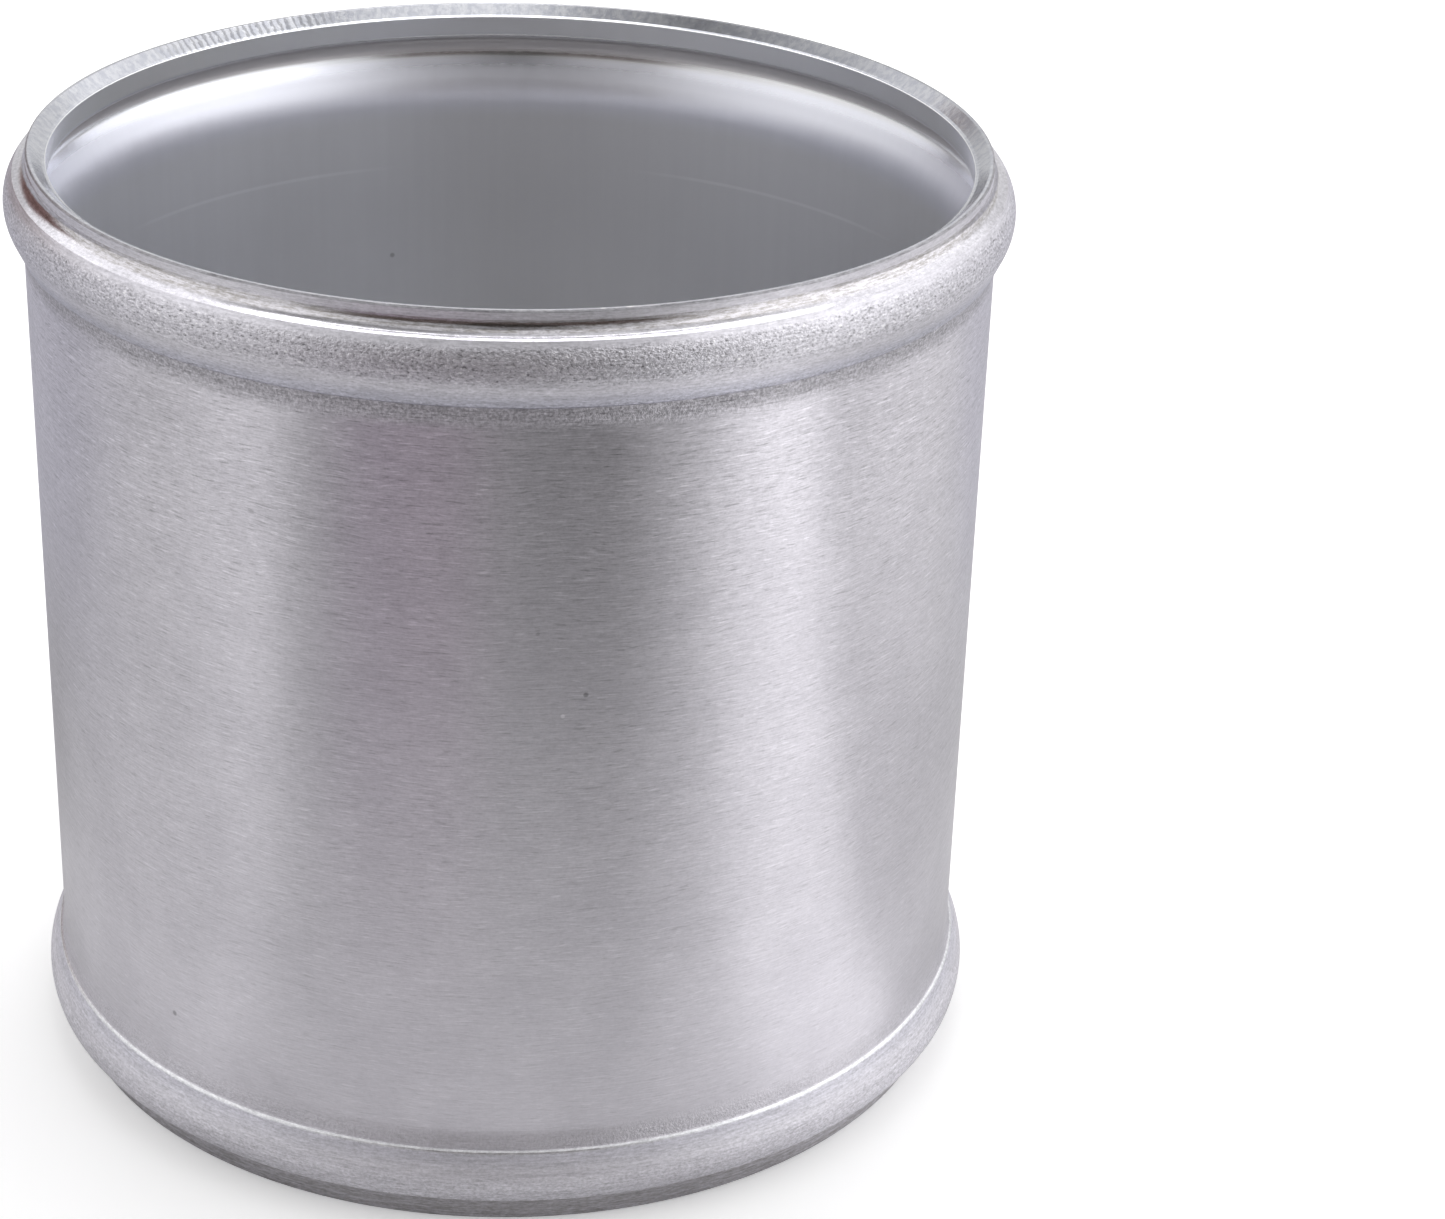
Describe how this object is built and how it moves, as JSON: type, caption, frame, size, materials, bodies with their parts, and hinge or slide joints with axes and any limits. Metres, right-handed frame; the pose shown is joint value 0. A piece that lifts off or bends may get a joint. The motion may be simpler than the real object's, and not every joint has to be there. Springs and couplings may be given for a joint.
{
  "type": "beaded hose joiner tube",
  "caption": "Aluminium hose joiner: a short thin-walled tube, open right through, with a rolled bead and a stepped lip at each end that a hose is pushed over and clamped behind.",
  "frame": {"origin": "middle of the lower end, on the plane the tube stands on", "axes": "+Z along the tube's axis, from its lower end to its upper end"},
  "size_m": [0.1052, 0.1052, 0.101],
  "materials": {
    "tube_aluminium": "satin, brushed around the tube, polished beside the bead"
  },
  "bodies": {
    "root": {"joiner_tube": "tube_aluminium"}
  },
  "joints": []
}
